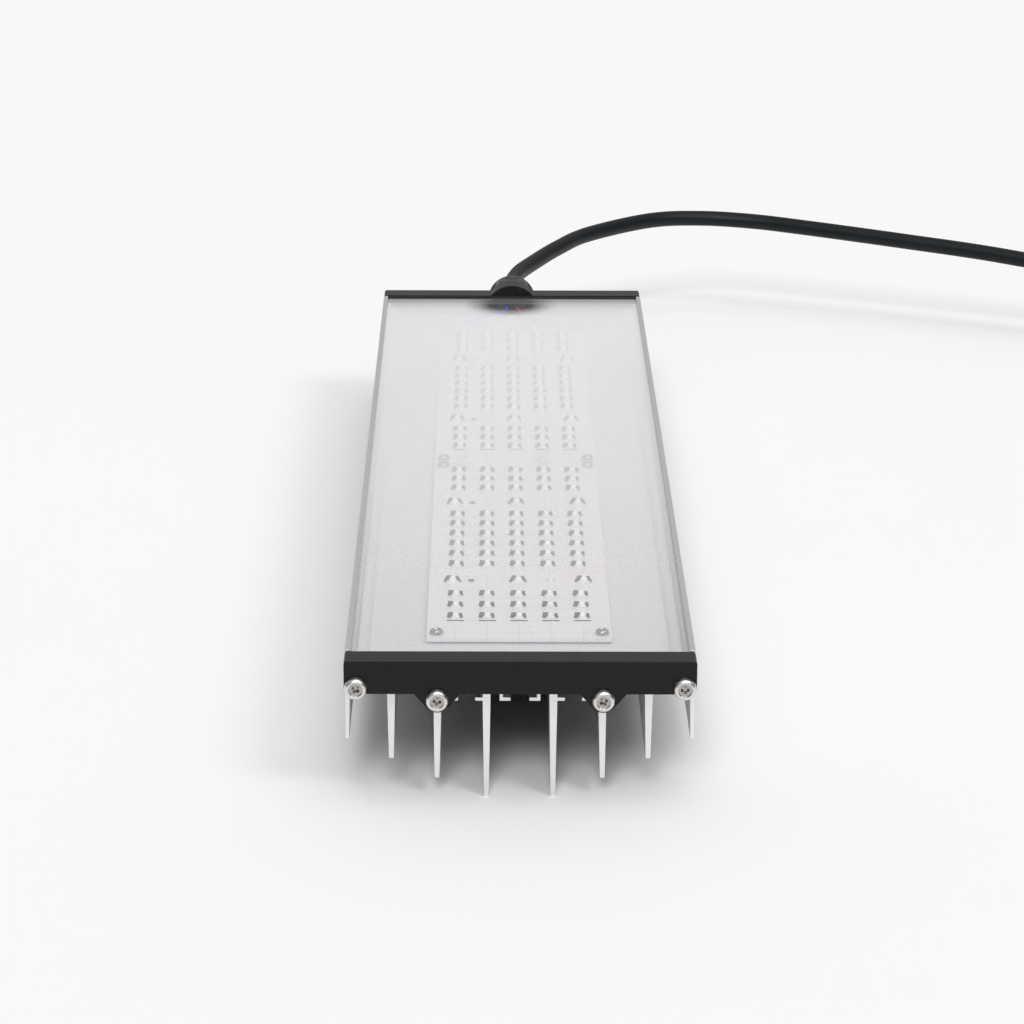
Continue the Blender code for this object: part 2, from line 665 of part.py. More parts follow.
def make_cable():
    tube("power_cable", smooth_route(ROUTE, CABLE_STEP), CABLE / 2, BLACK_RUBBER)
    tube("cable_tail", smooth_route(TAIL_ROUTE, CABLE_STEP), CABLE / 2, BLACK_RUBBER)
    middle = COIL_LIFT + COIL_HALF
    corner = 3.2 * MM
    reach = COIL_HALF - corner
    section = []
    for quarter in range(4):
        across = reach if quarter in (0, 3) else -reach
        up = reach if quarter < 2 else -reach
        start = quarter * math.pi / 2
        section += arc((COIL_RADIUS + across, up), corner, start, start + math.pi / 2, 3)
    profile = [(z, radius) for radius, z in section]
    turned("cable_coil", profile, (*COIL_CENTRE, middle), BLACK_RUBBER, steps=40, axis="Z")
    bm = bmesh.new()
    inner = COIL_HALF + 0.3 * MM
    outer = inner + TIE_THICK
    strap_x = COIL_CENTRE[0] - COIL_RADIUS
    hole = rectangle(strap_x - inner - 0.6 * MM, strap_x + inner + 0.6 * MM, middle - inner, middle + inner)
    band = rectangle(strap_x - outer - 0.6 * MM, strap_x + outer + 0.6 * MM, middle - outer, middle + outer)
    prism_mesh(bm, band, COIL_CENTRE[1] - TIE_WIDTH / 2, COIL_CENTRE[1] + TIE_WIDTH / 2, [hole])
    add_object("coil_tie", bm, STRAP)


def make_connector():
    """A round waterproof cable connector. Places along it are measured from the clamp nut to the mouth."""
    centre = (PLUG_X, PLUG_Y, PLUG_Z)

    def along(profile):
        return [(-y * MM, radius * MM, 0) for y, radius in profile]

    bore = CABLE_BORE / MM
    nut = [(0, bore), (0, 6.6), (3, 8.6), (13, 8.9), (13, 7.0), (4, 7.0), (4, bore)]
    turned("connector_clamp_nut", along(nut), centre, BLACK_PLASTIC)
    shell = [
        (5, bore),
        (5, 6.6),
        (13.6, 6.6),
        (13.6, 9.2),
        (24, 9.2),
        (24, 7.6),
        (30.4, 7.6),
        (30.4, 8.4),
        (32.4, 8.4),
        (32.4, 7.6),
        (44, 7.6),
        (44, 6.6),
        (28, 6.6),
        (28, bore),
    ]
    turned("connector_body", along(shell), centre, BLACK_PLASTIC)
    ring = RING_RADIUS / MM
    collar = [
        (24.5, 8.0),
        (24.5, ring - 0.8),
        (25.3, ring),
        (50.2, ring),
        (51, ring - 0.8),
        (51, 9.0),
        (29.9, 9.0),
        (29.9, 8.0),
    ]
    turned("connector_ring", along(collar), centre, BLACK_PLASTIC)
    insert = [(28.4, 0), (28.4, 6.3), (38, 6.3), (38, 0)]
    turned("connector_insert", along(insert), centre, IVORY, steps=20)
    pin = [(38.3, 0), (38.3, 0.9), (43, 0.9), (43.6, 0.5), (43.6, 0)]
    for i in range(3):
        angle = math.radians(90 + 120 * i)
        place = (PLUG_X + PIN_CIRCLE * math.cos(angle), PLUG_Y, PLUG_Z + PIN_CIRCLE * math.sin(angle))
        turned(f"connector_pin_{i + 1}", along(pin), place, BRASS, steps=8)
    stub = [(0.3, 0), (0.3, CABLE / 2 / MM), (27.5, CABLE / 2 / MM), (27.5, 0)]
    turned("cable_in_connector", along(stub), centre, BLACK_RUBBER, steps=12)


def main():
    clear_scene()
    make_body()
    make_cover()
    make_caps()
    make_cap_screws()
    for where, start in board_starts().items():
        make_board(where, start)
    make_wiring()
    make_gland()
    make_cable()
    make_connector()


main()
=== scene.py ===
"""Looks of the LED grow light bar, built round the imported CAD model. Metres, +Z up, the CAD's frame."""

import math

import bmesh
import bpy
from mathutils import Matrix, Vector


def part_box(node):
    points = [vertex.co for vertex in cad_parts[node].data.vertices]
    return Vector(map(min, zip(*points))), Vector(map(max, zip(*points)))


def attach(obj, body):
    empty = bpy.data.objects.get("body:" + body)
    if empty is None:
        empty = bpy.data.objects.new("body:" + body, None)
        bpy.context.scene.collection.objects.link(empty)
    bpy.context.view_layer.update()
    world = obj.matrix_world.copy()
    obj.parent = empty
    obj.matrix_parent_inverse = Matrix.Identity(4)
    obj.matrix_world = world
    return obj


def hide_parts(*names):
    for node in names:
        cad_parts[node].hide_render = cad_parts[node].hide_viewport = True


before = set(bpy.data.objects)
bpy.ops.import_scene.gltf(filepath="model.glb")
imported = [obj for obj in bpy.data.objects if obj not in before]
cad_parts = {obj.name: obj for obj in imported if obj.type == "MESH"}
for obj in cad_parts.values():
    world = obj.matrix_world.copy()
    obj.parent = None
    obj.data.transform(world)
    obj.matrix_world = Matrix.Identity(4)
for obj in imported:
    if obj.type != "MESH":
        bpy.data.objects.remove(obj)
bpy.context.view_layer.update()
MM = 0.001

# The camera
CAMERA_PLACE = (-0.01314, -1.6664, 0.55742)
CAMERA_TILT = math.radians(17.5785)  # below the horizontal
CAMERA_YAW = math.radians(0.3998)  # towards +X
CAMERA_ROLL = math.radians(0.2408)
CAMERA_LENS = 129.2

# The cable. ROUTE runs from the gland's mouth to the coil, and TAIL_ROUTE from the coil to the connector.
CABLE = 9 * MM
CABLE_STEP = 5 * MM
ROUTE = (
    (0.0, 0.327, 0.0535),
    (0.0, 0.345, 0.0535),
    (0.0035, 0.372, 0.0538),
    (0.0133, 0.398, 0.0545),
    (0.0277, 0.4265, 0.0563),
    (0.0459, 0.4545, 0.0578),
    (0.0840, 0.4895, 0.0582),
    (0.1147, 0.5000, 0.0572),
    (0.1446, 0.4970, 0.0562),
    (0.1740, 0.4870, 0.0550),
    (0.2318, 0.4650, 0.0520),
    (0.2887, 0.4430, 0.0484),
    (0.3400, 0.4190, 0.0430),
    (0.3870, 0.3840, 0.0345),
    (0.4220, 0.3400, 0.0245),
    (0.4400, 0.3070, 0.0185),
)
TAIL_ROUTE = (
    (0.4566, 0.2240, 0.0062),
    (0.4565, 0.2080, 0.0064),
    (0.4557, 0.1900, 0.0074),
    (0.4540, 0.1720, 0.0092),
    (0.4530, 0.1580, 0.0106),
    (0.4530, 0.1520, 0.0108),
    (0.4530, 0.1460, 0.0108),
)
COIL_CENTRE = (0.404, 0.240)
COIL_RADIUS = 48 * MM
COIL_MIDDLE = 10.8 * MM  # height of the bundle's middle
LAY = 9.2 * MM  # distance between neighbouring turns
COIL_ENTRY = math.radians(38)  # where the cable comes onto the coil
COIL_TURNS = 4
COIL_HUMP = 0.45 * MM  # how far a turn rises over its neighbours at a crossing
CROSSING = (math.radians(10), math.radians(100))  # where a turn starts to change places, and for how long
POINTS_PER_TURN = 30

# The heatsink's channel under the cover. Its matt finish, a lighter and less metallic colour than the bare
# aluminium, is painted light, and fades between each of these pairs of places.
CHANNEL_SIDE = (68.3 * MM, 68.8 * MM)
CHANNEL_TOP = (59.6 * MM, 59.2 * MM)
CHANNEL_FLOOR = (51.5 * MM, 51.9 * MM)

# The cover's haze: the opacity of one of its faces, which rises as it is seen at a lower angle
HAZE = (0.155, 0.7)
HAZE_ANGLES = (0.667, 0.745)  # Layer Weight's facing where the haze starts to rise, and where it is full
HAZE_GRAIN = 0.03
CAP_CLEARING = (262 * MM, 294 * MM, 0.25)  # Y where the haze starts to fall, Y of the wall, share left
LEADS_PLACE = (-1 * MM, 274 * MM, 61 * MM)
LEADS_CLEARING = (12 * MM, 26 * MM, 0.1)  # distances where the haze is least and full, share left

# The light sources on a board: a block of 3 rows, a row of large ones, 6 rows, a row of large ones, 3 rows
BOARD_THICK = 1.6 * MM
BOARD_HOLE = 1.8 * MM
ROW_PITCH = 14.3 * MM
ROW_START = 26 * MM
TO_LARGE_ROW = 18.2 * MM
FROM_LARGE_ROW = 21.6 * MM
ROW_BLOCKS = (3, 6, 3)
COLUMN_PITCH = 13.2 * MM
LARGE_COLUMN_PITCH = 28 * MM
SKIN = 0.04 * MM  # thickness of the pads
PACKAGE_THICK = 0.5 * MM
# The contacts are dark blocks beside the lens, raised and leaned in to paint the dark reflections seen at
# its sides.
SMALL_LED = {
    "pad": (5.8 * MM, 2.2 * MM),
    "package": (3.8 * MM, 4.2 * MM),
    "lens": (1.6 * MM, 1.8 * MM),  # radius and height
    "facets": (16, 4),  # round the lens, and from its rim to its top
    "contacts_and_painted_marks": (  # X from the lens, size, and how far the top leans in X
        (-2.5 * MM, (2.1 * MM, 1.7 * MM, 1.9 * MM), 0.4 * MM),
        (2.4 * MM, (1.3 * MM, 1.4 * MM, 1.6 * MM), -0.3 * MM),
    ),
}
LARGE_LED = {
    "pad": (7.6 * MM, 3.0 * MM),
    "package": (5.2 * MM, 5.0 * MM),
    "lens": (1.9 * MM, 1.9 * MM),
    "facets": (24, 5),
    "contacts_and_painted_marks": (
        (-3.0 * MM, (1.7 * MM, 2.0 * MM, 2.3 * MM), 1.3 * MM),
        (2.9 * MM, (1.2 * MM, 1.8 * MM, 2.1 * MM), -1.1 * MM),
    ),
}
PAINTED_SHADOW_LINE = (7.2 * MM, 1.3 * MM, SKIN)  # a flat dark strip that paints the shadow line beyond the first and last small rows
PAINTED_SHADOW_LINE_AWAY = 4.3 * MM
SMD_X = (-20 * MM, 14 * MM)
SMD_SIZE = (2.2 * MM, 1.6 * MM, 0.55 * MM)
SMD_LIFT = 0.05 * MM
SMD_END = (0.6 * MM, 1.62 * MM, 0.58 * MM)
SMD_END_AWAY = 1.35 * MM

# The screws. The head, the shank and the dish in the head's top are given by their radii.
CAP_SCREW = {
    "head": 4.6 * MM,
    "thick": 3.1 * MM,
    "shank": 2.1 * MM,
    "length": 23 * MM,
    "dish": 2.9 * MM,
    "sunk": 0.8 * MM,
    "arm": (2.2 * MM, 0.75 * MM, 1.4 * MM),  # half length, half width and depth
}
BOARD_SCREW = {
    "head": 2.8 * MM,
    "thick": 1.7 * MM,
    "shank": 1.5 * MM,
    "length": 4.8 * MM,
    "dish": 1.7 * MM,
    "sunk": 0.35 * MM,
    "arm": (1.4 * MM, 0.4 * MM, 0.6 * MM),
}
SCREW_TURN = (0.35, 1.1)  # angle of a screw's recess: its start, and the step with each screw

# The terminals: the release slot in the top, and the wire's hole in one end
SLOT_SIZE = (1.4 * MM, 2.2 * MM, 2 * MM)
SLOT_AWAY = 0.9 * MM
SLOT_DEPTH = 0.8 * MM
HOLE_PROFILE = ((0, 1.15 * MM), (2 * MM, 1.0 * MM))
HOLE_DEPTH = 1.2 * MM

# The gland, whose nut and flange are hexagons with rounded corners
GLAND_BORE = 4.85 * MM
GLAND_FLANGE = 301.8 * MM  # Y of the flange's inner face
GLAND_HEX = 12 * MM  # half the width across flats
GLAND_CORNER = 13.6 * MM
GLAND_HOOD = 12.9 * MM
GLAND_THREAD = 7.9 * MM
GLAND_SPIGOT = 8.3 * MM
GLAND_SEAT = 6.6 * MM
NUT_BORE = 8.65 * MM
O_RING = 9.35 * MM
O_RING_HALF = 0.9 * MM

# The connector's pieces in millimetres: place along it and radius, with True where the piece is ribbed
CLAMP_PROFILE = (
    (0, 4.85),
    (0, 6.2),
    (0.5, 6.7),
    (3, 8.3),
    (3.4, 8.5),
    (3.8, 8.85, True),
    (11.6, 8.85, True),
    (12.2, 8.5),
    (13, 8.3),
    (13, 7.0),
    (4, 7.0),
    (4, 4.85),
)
SHELL_PROFILE = (
    (5, 4.85),
    (5, 6.6),
    (13.6, 6.6),
    (13.6, 8.9),
    (13.9, 9.2),
    (16.8, 9.2),
    (17.1, 8.9),
    (17.6, 8.9),
    (17.9, 9.2),
    (23.7, 9.2),
    (24, 8.9),
    (24, 7.6),
    (30.4, 7.6),
    (30.4, 8.3),
    (30.6, 8.4),
    (32.2, 8.4),
    (32.4, 8.3),
    (32.4, 7.6),
    (43.7, 7.6),
    (44, 7.4),
    (44, 6.6),
    (28, 6.6),
    (28, 4.85),
)
RING_PROFILE = (
    (24.5, 8.0),
    (24.5, 9.5),
    (25.0, 10.1),
    (25.6, 10.35),
    (27.4, 10.35),
    (27.8, 10.35, True),
    (46.0, 10.35, True),
    (46.4, 10.35),
    (49.6, 10.35),
    (50.4, 10.1),
    (51, 9.6),
    (51, 9.0),
    (29.9, 9.0),
    (29.9, 8.0),
)

CLAMP_RIBS = (160, 20, 0.6 * MM)  # steps round the piece, ribs and their depth
RING_RIBS = (216, 24, 0.9 * MM)

# The coil's tie
TIE_THICK = 1 * MM
TIE_SQUARE = 0.35  # how square its corners are, from 0, sharp, to 1, an ellipse
TIE_FLAP = (math.radians(-40), math.radians(95))  # the part that lies over the strap
TIE_FLAP_GAP = 0.03 * MM
TIE_FLAP_TOP = 0.85 * MM
TIE_FLAP_NARROWER = 0.6 * MM

# The studio
FLOOR_HALF = 20.0
SKY = (("Z", 0.12, 0.5), ("Y", 0.0, 0.3))  # strength along an axis, at 0 and at 1
SUNS = (  # name, direction that it comes from, strength and spread in degrees
    ("key", (0.75, -0.75, 1.0), 0.6, 18),
    ("front", (-0.1, -1.0, 0.8), 1.3, 20),
    ("overhead", (0.15, -0.3, 1.0), 0.72, 50),
)


# Mesh and curve helpers


def add(name, data, material, body="root", replaces=()):
    """Adds a piece that rides on a body, with its finish and the CAD nodes that it stands for."""
    obj = bpy.data.objects.new(name, data)
    bpy.context.scene.collection.objects.link(obj)
    if not data.materials:
        data.materials.append(material)
    if isinstance(data, bpy.types.Mesh):
        flatten = obj.modifiers.new("flat_faces", "WEIGHTED_NORMAL")
        flatten.keep_sharp = True
    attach(obj, body)
    if replaces:
        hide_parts(*replaces)
    return obj


def to_mesh(name, bm, smooth_angle=35):
    """The finished mesh of bm, smooth but for edges sharper than smooth_angle degrees."""
    bmesh.ops.recalc_face_normals(bm, faces=bm.faces)
    mesh = bpy.data.meshes.new(name)
    bm.to_mesh(mesh)
    bm.free()
    mesh.shade_smooth()
    mesh.set_sharp_from_angle(angle=math.radians(smooth_angle))
    return mesh


def soften_edges(bm, width, segments=2, angle=35):
    """Rounds every edge that is sharper than angle degrees."""
    limit = math.radians(angle)
    edges = [e for e in bm.edges if e.is_manifold and e.calc_face_angle(0) > limit]
    bmesh.ops.bevel(
        bm,
        geom=edges,
        offset=width,
        segments=segments,
        profile=0.5,
        affect="EDGES",
        clamp_overlap=True,
        harden_normals=False,
    )


def refined(node, material, width=0.0, segments=2, body="root"):
    """A copy of a CAD node with rounded edges, which stands for it."""
    bm = bmesh.new()
    bm.from_mesh(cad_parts[node].data)
    bmesh.ops.remove_doubles(bm, verts=bm.verts, dist=1e-6)
    bmesh.ops.dissolve_limit(
        bm, angle_limit=math.radians(0.5), verts=bm.verts, edges=bm.edges, delimit={"NORMAL"}
    )
    if width:
        soften_edges(bm, width, segments)
    return add(f"{node}_finished", to_mesh(node, bm), material, body, [node])


def slab(bm, centre, size, lean=0.0):
    """Adds a box whose top leans over in X. centre is the middle of its underside."""
    made = bmesh.ops.create_cube(bm, size=1.0)["verts"]
    bmesh.ops.scale(bm, vec=size, verts=made)
    bmesh.ops.translate(bm, vec=(lean, 0, 0), verts=[v for v in made if v.co.z > 0])
    bmesh.ops.translate(bm, vec=(centre[0], centre[1], centre[2] + size[2] / 2), verts=made)


def dome(bm, centre, radius, height, steps, rings):
    """Adds a shallow dome on a short rim. centre is the middle of its underside."""
    rim = 0.25 * height
    levels = [(radius, 0.0)]
    for ring in range(rings):
        rise = math.pi / 2 * ring / rings
        levels.append((radius * math.cos(rise), rim + (height - rim) * math.sin(rise)))
    turns = [2 * math.pi * i / steps for i in range(steps)]
    loops = []
    for reach, up in levels:
        ring = [(centre[0] + reach * math.cos(a), centre[1] + reach * math.sin(a)) for a in turns]
        loops.append([bm.verts.new((x, y, centre[2] + up)) for x, y in ring])
    top = bm.verts.new((centre[0], centre[1], centre[2] + height))
    for one, two in zip(loops, loops[1:]):
        for i in range(steps):
            bm.faces.new((one[i - 1], one[i], two[i], two[i - 1]))
    for i in range(steps):
        bm.faces.new((loops[-1][i - 1], loops[-1][i], top))
    bm.faces.new(loops[0])


def turned(profile, steps=48, ribs=0, rib_depth=0.0, solid=False):
    """A bmesh of a body turned round Z, closed in a ring, or with flat ends if it is solid.

    A profile entry is (place along it, radius), and may add half a width across flats, which makes it a
    hexagon with that radius at its corners, and whether it is ribbed.
    """
    bm = bmesh.new()
    rings = []
    for entry in profile:
        along, radius, flats, ribbed = (*entry, None, False)[:4]
        ring = []
        for i in range(steps):
            angle = 2 * math.pi * i / steps
            reach = radius
            if flats:
                sixth = math.pi / 3
                reach = min(radius, flats / math.cos((angle % sixth) - sixth / 2))
            if ribbed:
                reach -= rib_depth * (0.5 + 0.5 * math.cos(ribs * angle)) ** 2
            ring.append(bm.verts.new((reach * math.cos(angle), reach * math.sin(angle), along)))
        rings.append(ring)
    for one, two in zip(rings, rings[1:] + ([] if solid else rings[:1])):
        for i in range(steps):
            bm.faces.new((one[i - 1], one[i], two[i], two[i - 1]))
    if solid:
        bm.faces.new(rings[0])
        bm.faces.new(rings[-1])
    return bm


def along_y(bm, place, direction=1):
    """Turns a bmesh made round Z to lie along +Y or -Y, from place."""
    turn = Matrix.Rotation(-direction * math.pi / 2, 4, "X")
    bmesh.ops.transform(bm, matrix=Matrix.Translation(place) @ turn, verts=bm.verts)
    return bm


def catmull_rom(points, step):
    """Points about every step along a smooth curve through points."""
    knots = [Vector(p) for p in points]
    knots = [2 * knots[0] - knots[1], *knots, 2 * knots[-1] - knots[-2]]
    route = []
    for a, b, c, d in zip(knots, knots[1:], knots[2:], knots[3:]):
        count = max(1, round((c - b).length / step))
        for i in range(count):
            t = i / count
            bend = (2 * a - 5 * b + 4 * c - d) * t**2 + (3 * b - a - 3 * c + d) * t**3
            route.append(0.5 * (2 * b + (c - a) * t + bend))
    return [*route, knots[-2]]


def tube(name, points, radius, resolution=5):
    """A curve through points with a round section."""
    curve = bpy.data.curves.new(name, "CURVE")
    curve.dimensions = "3D"
    curve.bevel_depth = radius
    curve.bevel_resolution = resolution
    curve.use_fill_caps = True
    spline = curve.splines.new("POLY")
    spline.points.add(len(points) - 1)
    for spot, point in zip(spline.points, points):
        spot.co = (*point, 1.0)
    spline.use_smooth = True
    return curve


# Materials


class Look:
    """A material being made: a Principled shader, and short ways to add the nodes that vary it."""

    def __init__(self, name, **sockets):
        self.material = bpy.data.materials.new(name)
        self.material.use_nodes = True
        self.tree = self.material.node_tree
        self.shader = self.tree.nodes["Principled BSDF"]
        for key, value in sockets.items():
            self.shader.inputs[key.replace("_", " ")].default_value = value
        self.place = self.tree.nodes.new("ShaderNodeTexCoord").outputs["Object"]

    def node(self, kind, inputs, **settings):
        made = self.tree.nodes.new(kind)
        for key, value in settings.items():
            setattr(made, key, value)
        for key, value in inputs.items():
            if isinstance(value, bpy.types.NodeSocket):
                self.tree.links.new(value, made.inputs[key])
            else:
                made.inputs[key].default_value = value
        return made

    def noise(self, stretch, detail=3.0, roughness=0.55):
        """Noise whose features repeat about stretch times a metre in X, Y and Z."""
        spread = self.node("ShaderNodeMapping", {"Vector": self.place, "Scale": stretch})
        inputs = {"Vector": spread.outputs[0], "Scale": 1.0, "Detail": detail, "Roughness": roughness}
        return self.node("ShaderNodeTexNoise", inputs).outputs["Fac"]

    def wave(self, scale, direction, distortion=0.0, kind="BANDS"):
        setting = "bands_direction" if kind == "BANDS" else "rings_direction"
        settings = {"wave_type": kind, setting: direction}
        inputs = {"Vector": self.place, "Scale": scale, "Distortion": distortion, "Detail": 2.0}
        return self.node("ShaderNodeTexWave", inputs, **settings).outputs["Fac"]

    def between(self, value, low, high, start=0.0, end=1.0):
        """Maps value, from start to end, to low to high."""
        inputs = {"Value": value, "From Min": start, "From Max": end, "To Min": low, "To Max": high}
        return self.node("ShaderNodeMapRange", inputs).outputs["Result"]

    def blend(self, share, one, two):
        """A colour between one and two."""
        inputs = {"Factor": share, "A": (*one, 1.0) if isinstance(one, tuple) else one}
        inputs["B"] = (*two, 1.0) if isinstance(two, tuple) else two
        made = self.tree.nodes.new("ShaderNodeMix")
        made.data_type = "RGBA"
        for key, value in inputs.items():
            socket = next(s for s in made.inputs if s.name == key and s.enabled)
            if isinstance(value, bpy.types.NodeSocket):
                self.tree.links.new(value, socket)
            else:
                socket.default_value = value
        return next(s for s in made.outputs if s.enabled)

    def facing(self, axis):
        """1 on faces that look along an axis, and 0 on the others."""
        normal = self.node("ShaderNodeNewGeometry", {}).outputs["Normal"]
        parts = self.node("ShaderNodeSeparateXYZ", {"Vector": normal})
        size = self.node("ShaderNodeMath", {0: parts.outputs[axis]}, operation="ABSOLUTE").outputs[0]
        return self.between(size, 0.0, 1.0, 0.85, 0.95)

    def colour(self, value):
        self.tree.links.new(value, self.shader.inputs["Base Color"])

    def rough(self, value):
        self.tree.links.new(value, self.shader.inputs["Roughness"])

    def bump(self, height, distance, strength=1.0):
        made = self.node("ShaderNodeBump", {"Height": height, "Distance": distance, "Strength": strength})
        self.tree.links.new(made.outputs["Normal"], self.shader.inputs["Normal"])


def aluminium():
    """Extruded aluminium: die lines along Y, saw marks on the cut ends, and a matt white channel that is
    painted light on the bare aluminium.
    """
    look = Look("extruded_aluminium")
    lines = look.noise((1600, 5, 1600))
    cloud = look.noise((45, 12, 45))
    saw = look.noise((30, 900, 2600))
    ends = look.facing("Y")
    parts = look.node("ShaderNodeSeparateXYZ", {"Vector": look.place}).outputs
    side = look.node("ShaderNodeMath", {0: parts["X"]}, operation="ABSOLUTE").outputs[0]
    between_walls = look.between(side, 1.0, 0.0, *CHANNEL_SIDE)
    below_cover = look.between(parts["Z"], 0.0, 1.0, *CHANNEL_TOP)
    above_base = look.between(parts["Z"], 0.0, 1.0, *CHANNEL_FLOOR)
    inside = look.node("ShaderNodeMath", {0: between_walls, 1: below_cover}, operation="MULTIPLY").outputs[0]
    channel_painted_light = look.node("ShaderNodeMath", {0: inside, 1: above_base}, operation="MULTIPLY").outputs[0]
    sides = look.blend(lines, (0.66, 0.665, 0.675), (0.76, 0.765, 0.77))
    cut = look.blend(saw, (0.8, 0.8, 0.805), (0.9, 0.9, 0.9))
    bare = look.blend(ends, sides, cut)
    # Painted light: the channel is a lighter matt grey than the bare aluminium.
    look.colour(look.blend(channel_painted_light, bare, look.blend(cloud, (0.7, 0.7, 0.715), (0.75, 0.75, 0.765))))
    look.tree.links.new(look.between(channel_painted_light, 0.88, 0.1), look.shader.inputs["Metallic"])
    look.rough(look.between(cloud, 0.32, 0.46, 0.3, 0.7))
    relief = look.blend(ends, look.blend(lines, (0, 0, 0), (1, 1, 1)), look.blend(saw, (0, 0, 0), (1, 1, 1)))
    look.bump(relief, 0.02 * MM, 0.6)
    return look.material


def grainy(name, dark, light, roughness, grain, depth, **sockets):
    """Paint, plastic or rubber: a fine grain in colour, gloss and relief."""
    look = Look(name, **sockets)
    fine = look.noise((grain, grain, grain))
    cloud = look.noise((60, 60, 60), detail=2.0)
    look.colour(look.blend(cloud, dark, light))
    look.rough(look.between(fine, roughness - 0.06, roughness + 0.06, 0.3, 0.7))
    look.bump(fine, depth)
    return look.material


def steel(name, dark, light, recess):
    """Turned steel, with painted shade that makes it dull and dark inside the radius of the head's recess.
    """
    look = Look(name, Metallic=1.0)
    rings = look.wave(700, "Z", 0.6, "RINGS")
    cloud = look.noise((500, 500, 500))
    across = look.node("ShaderNodeVectorMath", {0: look.place, 1: (1.0, 1.0, 0.0)}, operation="MULTIPLY")
    radius = look.node("ShaderNodeVectorMath", {0: across.outputs[0]}, operation="LENGTH").outputs["Value"]
    # Painted shade inside the head's recess.
    recess_painted_shade = look.between(radius, 0.0, 1.0, recess + 0.1 * MM, recess - 0.4 * MM)
    shade = look.blend(cloud, (0.36, 0.34, 0.33), (0.5, 0.475, 0.46))
    look.colour(look.blend(recess_painted_shade, look.blend(cloud, dark, light), shade))
    look.rough(look.between(cloud, 0.2, 0.34, 0.3, 0.7))
    look.bump(rings, 0.006 * MM, 0.5)
    return look.material


def frosted():
    """Frosted acrylic: clear enough to show the boards from above, and milky at a low angle.

    It blurs what is close under it less: the rear cap's wall, and the leads where they come in.
    """
    look = Look("frosted_acrylic", IOR=1.3)
    haze = look.noise((14, 6, 14), detail=2.0)
    look.colour(look.blend(haze, (0.78, 0.78, 0.8), (0.82, 0.82, 0.84)))
    grazing = look.node("ShaderNodeLayerWeight", {"Blend": 0.5}).outputs["Facing"]
    grain = look.between(look.noise((900, 900, 900), detail=2.0), -HAZE_GRAIN, HAZE_GRAIN, 0.35, 0.65)
    smooth = look.between(grazing, *HAZE, *HAZE_ANGLES)
    milky = look.node("ShaderNodeMath", {0: smooth, 1: grain}, operation="ADD").outputs[0]
    along = look.node("ShaderNodeSeparateXYZ", {"Vector": look.place}).outputs["Y"]
    start, wall, least = CAP_CLEARING
    by_cap = look.between(along, 1.0, least, start, wall)
    near, far, least = LEADS_CLEARING
    reach = look.node("ShaderNodeVectorMath", {0: look.place, 1: LEADS_PLACE}, operation="DISTANCE")
    by_leads = look.between(reach.outputs["Value"], least, 1.0, near, far)
    close = look.node("ShaderNodeMath", {0: by_cap, 1: by_leads}, operation="MULTIPLY").outputs[0]
    alpha = look.node("ShaderNodeMath", {0: milky, 1: close}, operation="MULTIPLY").outputs[0]
    look.tree.links.new(alpha, look.shader.inputs["Alpha"])
    look.rough(look.between(haze, 0.42, 0.5, 0.3, 0.7))
    return look.material


def board_mask():
    """White solder mask over wide copper areas, whose edges show faintly."""
    look = Look("white_solder_mask", Coat_Weight=0.15, Coat_Roughness=0.2)
    grid = look.node(
        "ShaderNodeTexBrick",
        {
            "Vector": look.place,
            "Scale": 1.0,
            "Mortar Size": 0.0006,
            "Mortar Smooth": 0.3,
            "Brick Width": COLUMN_PITCH,
            "Row Height": ROW_PITCH,
        },
        offset=0.0,
    ).outputs["Fac"]
    cloud = look.noise((40, 40, 40))
    plain = look.blend(cloud, (0.8, 0.8, 0.8), (0.84, 0.84, 0.84))
    tint = look.between(look.noise((16, 8, 16), detail=1.0), 0.0, 0.7, 0.5, 0.7)
    look.colour(look.blend(grid, look.blend(tint, plain, (0.84, 0.75, 0.755)), (0.75, 0.75, 0.75)))
    look.rough(look.between(cloud, 0.3, 0.42, 0.3, 0.7))
    look.bump(grid, 0.03 * MM, 0.5)
    return look.material


def led_dome():
    look = Look("led_dome", Coat_Weight=0.6, Coat_Roughness=0.05)
    tint = look.noise((60, 14, 60), detail=1.0)
    look.colour(look.blend(look.between(tint, 0.0, 1.0, 0.45, 0.6), (0.92, 0.92, 0.9), (0.93, 0.84, 0.85)))
    look.rough(look.between(tint, 0.08, 0.14))
    return look.material


def strap():
    """Hook-and-loop strap: a mat of short loops over a woven band."""
    look = Look("loop_strap", Sheen_Weight=0.5, Sheen_Roughness=0.5)
    loops = look.noise((1500, 1500, 1500), detail=5.0)
    ribs = look.wave(260, "Y", 2.0)
    look.colour(look.blend(loops, (0.012, 0.012, 0.013), (0.05, 0.05, 0.055)))
    look.rough(look.between(loops, 0.8, 0.95))
    look.bump(look.blend(loops, (0, 0, 0), ribs), 0.3 * MM)
    return look.material


